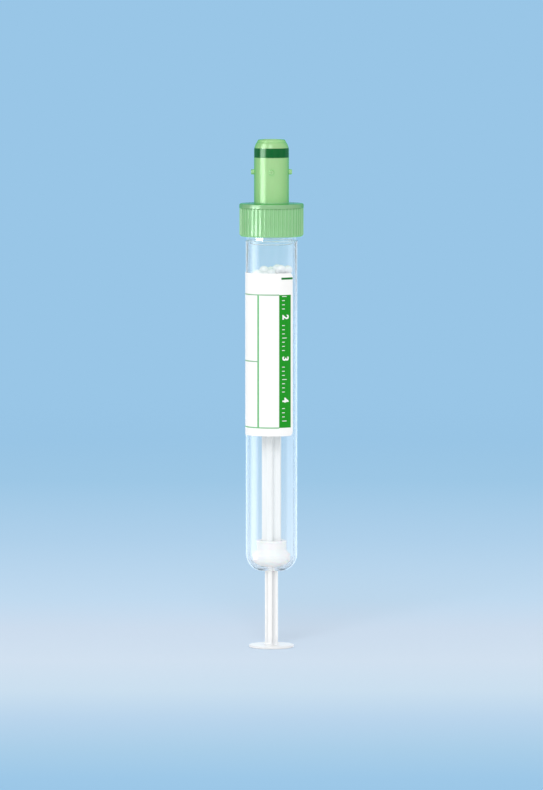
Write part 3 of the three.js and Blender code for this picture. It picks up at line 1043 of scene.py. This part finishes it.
studio = {
    "backdropBlue": linear(153, 198, 231),
    "floorRadius": 0.9,
    "floorFront": -0.3,        # where the floor's colours begin and end, from front to back
    "floorBack": 0.7,
    "ambient": 0.81,
    "keyStrength": 0.9,
    "keyAngle": 28,
    "panelDistance": 0.15,
    "fadeStart": 0.5,
    "floorBounce": (0.9, 0.9, 0.9, 1),
    "keyDirection": Vector((-0.12, -0.8, 0.6)),
}


# The floor is painted palest under the object and deeper to the front and the back, a painted pool of light
# as on a lit swept backdrop.
def makeFloorMaterial():
    material = bpy.data.materials.new("backdrop_floor")
    material.use_nodes = True
    tree = material.node_tree
    shader = tree.nodes["Principled BSDF"]
    shader.inputs["Roughness"].default_value = 0.9
    shader.inputs["Specular IOR Level"].default_value = 0.0
    place = tree.nodes.new("ShaderNodeTexCoord")
    distance = tree.nodes.new("ShaderNodeVectorMath")
    distance.operation = "LENGTH"
    wire(tree, place.outputs["Object"], distance.inputs[0])
    axes = tree.nodes.new("ShaderNodeSeparateXYZ")
    wire(tree, place.outputs["Object"], axes.inputs[0])
    depth = tree.nodes.new("ShaderNodeMapRange")
    setRange(depth, studio["floorFront"], studio["floorBack"])
    wire(tree, axes.outputs["Y"], depth.inputs["Value"])
    ramp = tree.nodes.new("ShaderNodeValToRGB")
    stops = ramp.color_ramp.elements
    # painted pool of light: the backdrop's blue, palest under the object
    paintedLightBands = {
        -0.3: studio["backdropBlue"], -0.24: linear(159, 202, 234), -0.195: linear(171, 208, 235),
        -0.14: linear(187, 215, 239), -0.09: linear(204, 225, 242), -0.03: linear(211, 227, 243),
        0.04: linear(206, 223, 241), 0.11: linear(194, 220, 242), 0.27: linear(176, 210, 237),
        0.46: linear(158, 201, 232), 0.62: studio["backdropBlue"],
    }
    while len(stops) < len(paintedLightBands):
        stops.new(0.5)
    reach = studio["floorBack"] - studio["floorFront"]
    for stop, (along, colour) in zip(stops, paintedLightBands.items()):
        stop.position, stop.color = (along - studio["floorFront"]) / reach, colour
    wire(tree, depth.outputs["Result"], ramp.inputs["Fac"])
    rays = tree.nodes.new("ShaderNodeLightPath")
    seen = mathNode(tree, "MAXIMUM", rays.outputs["Is Camera Ray"], rays.outputs["Is Glossy Ray"])
    seen = mathNode(tree, "MAXIMUM", seen, rays.outputs["Is Transmission Ray"])
    shown = mixed(tree, seen, studio["floorBounce"], ramp.outputs["Color"])
    wire(tree, shown, shader.inputs["Base Color"])
    fade = tree.nodes.new("ShaderNodeMapRange")
    fade.interpolation_type = "SMOOTHSTEP"
    setRange(fade, studio["fadeStart"], studio["floorRadius"] - 0.05)
    wire(tree, distance.outputs["Value"], fade.inputs["Value"])
    clear = tree.nodes.new("ShaderNodeBsdfTransparent")
    mix = tree.nodes.new("ShaderNodeMixShader")
    wire(tree, fade.outputs["Result"], mix.inputs["Fac"])
    wire(tree, shader.outputs["BSDF"], mix.inputs[1])
    wire(tree, clear.outputs["BSDF"], mix.inputs[2])
    wire(tree, mix.outputs["Shader"], tree.nodes["Material Output"].inputs["Surface"])
    return material


def addFloor():
    bm = bmesh.new()
    bmesh.ops.create_circle(bm, cap_ends=True, segments=96, radius=studio["floorRadius"])
    mesh = bpy.data.meshes.new("floor")
    bm.to_mesh(mesh)
    bm.free()
    mesh.materials.append(makeFloorMaterial())
    floor = bpy.data.objects.new("floor", mesh)
    floor.location.z = cadBox[0][2]
    floor.visible_glossy = False
    bpy.context.scene.collection.objects.link(floor)


# Low and high are heights in metres, and "plateau" is the share of the width with the full strength.
panels = {
    "surround": {"width": 0.3, "low": -0.05, "high": 0.092, "strength": 0.9, "plateau": 0.98},
    "neck_soft_box": {
        "facing": -60, "width": 0.15, "low": 0.101, "high": 0.3, "strength": 11.0, "plateau": 0.3,
    },
    "skirt_soft_box": {
        "facing": -58, "width": 0.13, "low": 0.0945, "high": 0.101, "strength": 26.0, "plateau": 0.5,
    },
    "tube_soft_box": {
        "facing": -82, "width": 0.15, "low": -0.05, "high": 0.09, "strength": 3.8, "plateau": 0.24,
    },
    "edge_strip": {
        "width": 0.085, "low": -0.05, "high": 0.2, "strength": 0.17, "plateau": 0.7, "throughClear": True,
    },
}


# An upright light panel, brightest at its middle. It is seen in gloss, and through clear plastic if asked.
def addPanel(name, facing, width, low, high, strength, plateau, throughClear=False):
    out = studio["panelDistance"]
    bm = bmesh.new()
    corners = ((-width / 2, low, 0), (width / 2, low, 1), (width / 2, high, 1), (-width / 2, high, 0))
    face = bm.faces.new([bm.verts.new((x, -out, z)) for x, z, _ in corners])
    layer = bm.loops.layers.uv.new("spread")
    for loop, (_, _, share) in zip(face.loops, corners):
        loop[layer].uv = (share, 0)
    bm.transform(Matrix.Rotation(math.radians(facing), 4, "Z"))
    mesh = bpy.data.meshes.new(name)
    bm.to_mesh(mesh)
    bm.free()
    material = bpy.data.materials.new(name)
    material.use_nodes = True
    tree = material.node_tree
    tree.nodes.remove(tree.nodes["Principled BSDF"])
    glow = tree.nodes.new("ShaderNodeEmission")
    plane = tree.nodes.new("ShaderNodeUVMap")
    plane.uv_map = "spread"
    place = tree.nodes.new("ShaderNodeSeparateXYZ")
    wire(tree, plane.outputs["UV"], place.inputs[0])
    fromMiddle = mathNode(tree, "ABSOLUTE", mathNode(tree, "SUBTRACT", place.outputs["X"], 0.5))
    profile = tree.nodes.new("ShaderNodeMapRange")
    profile.interpolation_type = "SMOOTHSTEP"
    setRange(profile, plateau / 2, 0.5, strength, 0.0)
    wire(tree, fromMiddle, profile.inputs["Value"])
    wire(tree, profile.outputs["Result"], glow.inputs["Strength"])
    behind = tree.nodes.new("ShaderNodeBsdfTransparent")
    both = tree.nodes.new("ShaderNodeAddShader")
    wire(tree, glow.outputs["Emission"], both.inputs[0])
    wire(tree, behind.outputs["BSDF"], both.inputs[1])
    wire(tree, both.outputs["Shader"], tree.nodes["Material Output"].inputs["Surface"])
    mesh.materials.append(material)
    panel = bpy.data.objects.new(name, mesh)
    bpy.context.scene.collection.objects.link(panel)
    panel.visible_camera = panel.visible_diffuse = panel.visible_shadow = False
    panel.visible_volume_scatter = False
    panel.visible_transmission = throughClear


def addWorld():
    world = bpy.data.worlds.new("studio")
    world.use_nodes = True
    bpy.context.scene.world = world
    tree = world.node_tree
    lighting = tree.nodes["Background"]
    lighting.inputs["Color"].default_value = (1, 1, 1, 1)
    lighting.inputs["Strength"].default_value = studio["ambient"]
    backdrop = tree.nodes.new("ShaderNodeBackground")
    backdrop.inputs["Color"].default_value = studio["backdropBlue"]
    rays = tree.nodes.new("ShaderNodeLightPath")
    seen = mathNode(tree, "MAXIMUM", rays.outputs["Is Camera Ray"], rays.outputs["Is Glossy Ray"])
    seen = mathNode(tree, "MAXIMUM", seen, rays.outputs["Is Transmission Ray"])
    mix = tree.nodes.new("ShaderNodeMixShader")
    wire(tree, seen, mix.inputs["Fac"])
    wire(tree, lighting.outputs["Background"], mix.inputs[1])
    wire(tree, backdrop.outputs["Background"], mix.inputs[2])
    wire(tree, mix.outputs["Shader"], tree.nodes["World Output"].inputs["Surface"])


def addKey():
    key = bpy.data.lights.new("key", "SUN")
    key.energy = studio["keyStrength"]
    key.angle = math.radians(studio["keyAngle"])
    lamp = bpy.data.objects.new("key", key)
    lamp.rotation_euler = studio["keyDirection"].to_track_quat("Z", "Y").to_euler()
    bpy.context.scene.collection.objects.link(lamp)


addFloor()
addWorld()
addKey()
for k in range(4):
    addPanel(f"surround_{k}", 90 * k, **panels["surround"])
for name in ("neck_soft_box", "skirt_soft_box", "tube_soft_box"):
    addPanel(name, **panels[name])
for k in range(8):
    addPanel(f"edge_strip_{k}", 22.5 + 45 * k, **panels["edge_strip"])
bpy.context.scene.view_settings.view_transform = "Standard"

view = {"lens": 287.3, "distance": 1.6, "elevation": 4.5, "aim": 0.0643}


def addCamera():
    camera = bpy.data.cameras.new("camera")
    camera.lens = view["lens"]
    camera.clip_start, camera.clip_end = 0.05, 20
    holder = bpy.data.objects.new("camera", camera)
    rise = math.radians(view["elevation"])
    back = Vector((0, -math.cos(rise), math.sin(rise)))
    holder.location = Vector((0, 0, view["aim"])) + back * view["distance"]
    holder.rotation_euler = back.to_track_quat("Z", "Y").to_euler()
    bpy.context.scene.collection.objects.link(holder)
    bpy.context.scene.camera = holder


addCamera()
print("studio made")
